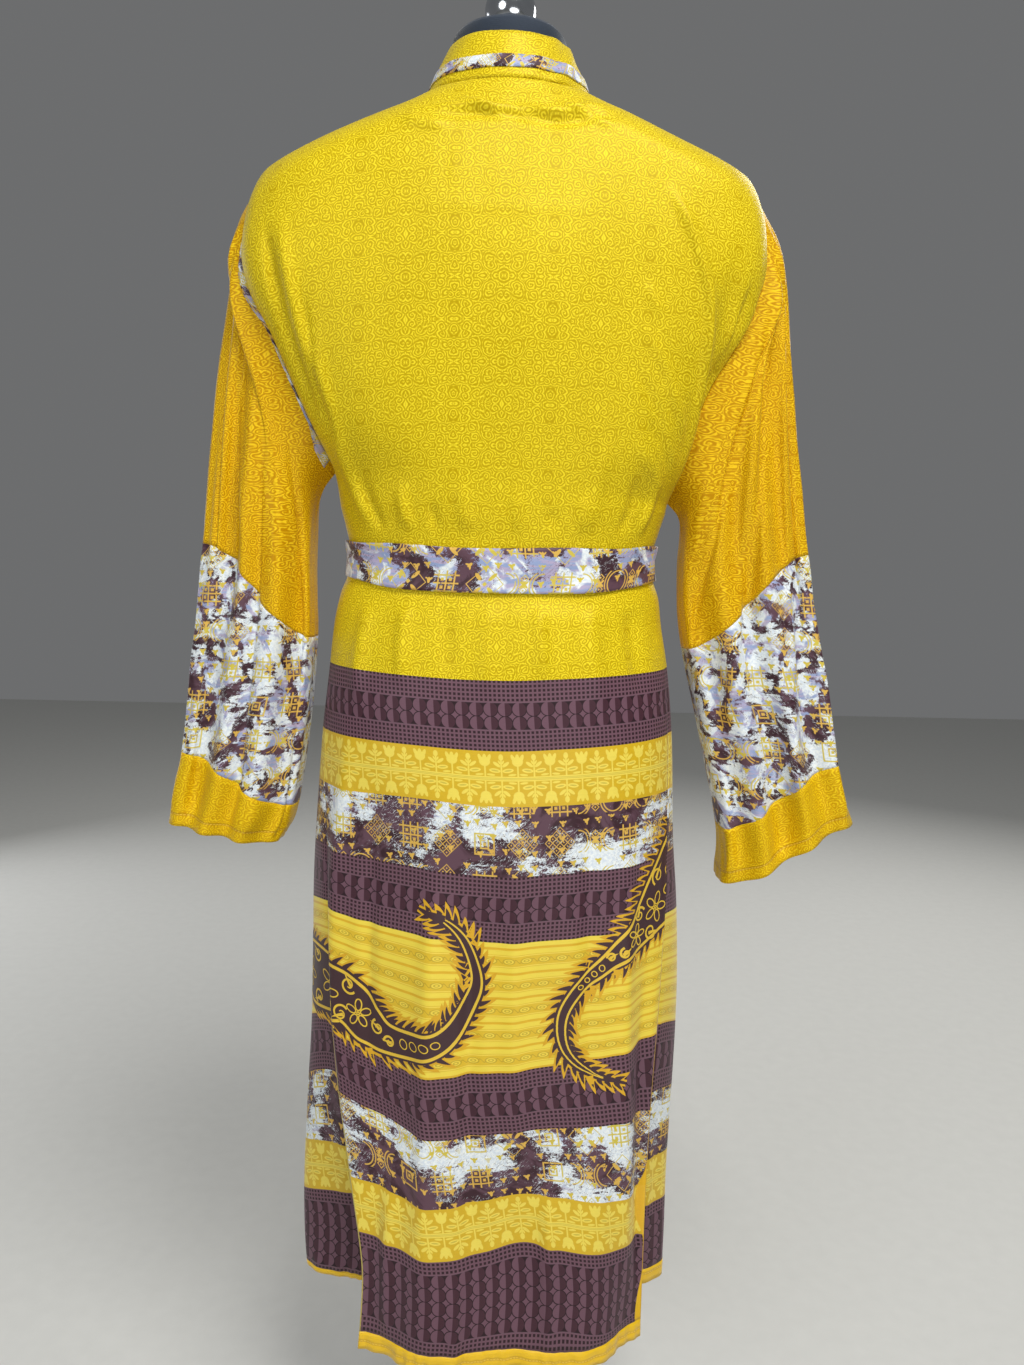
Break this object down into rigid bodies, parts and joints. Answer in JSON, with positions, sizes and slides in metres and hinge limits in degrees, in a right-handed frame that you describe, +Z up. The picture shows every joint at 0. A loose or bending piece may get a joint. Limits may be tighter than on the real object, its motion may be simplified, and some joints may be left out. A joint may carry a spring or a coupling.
{
  "type": "kimono robe on a limbless dress form",
  "caption": "Calf-length printed kimono robe with wide hanging sleeves, standing neckband and tied belt, worn by a limbless dress form on a round stand.",
  "frame": {"origin": "on the floor, under the middle of the stand's round base", "axes": "+Z up along the stand's pole, +Y out of the robe's back, -Y out of its front, +X towards the wearer's left sleeve"},
  "size_m": [0.6978, 0.35, 1.5485],
  "materials": {
    "yellow_cloth": "satin woven cloth with a printed border",
    "sleeve_cloth": "satin woven cloth, golden yellow",
    "print_cloth": "soft matt cloth with a many-coloured print",
    "hem_cloth": "plain satin cloth, deep yellow",
    "form_cover": "dark close-knit cover",
    "bright_metal": "polished",
    "stand_metal": "satin black enamel"
  },
  "bodies": {
    "root": {"back_panel": "yellow_cloth", "hem_back": "hem_cloth", "front_left_panel": "yellow_cloth", "hem_front_left": "hem_cloth", "front_right_panel": "yellow_cloth", "hem_front_right": "hem_cloth", "neckband": "yellow_cloth", "neckband_strip": "print_cloth", "sleeve_left_upper": "sleeve_cloth", "sleeve_left_print": "print_cloth", "sleeve_left_cuff": "hem_cloth", "sleeve_right_upper": "sleeve_cloth", "sleeve_right_print": "print_cloth", "sleeve_right_cuff": "hem_cloth", "armhole_strip_left": "print_cloth", "belt": "print_cloth", "belt_knot": "print_cloth", "belt_tail_left": "print_cloth", "belt_tail_right": "print_cloth", "form_torso": "form_cover", "neck_knob": "bright_metal", "stand_pole": "stand_metal", "stand_base": "stand_metal"}
  },
  "joints": []
}
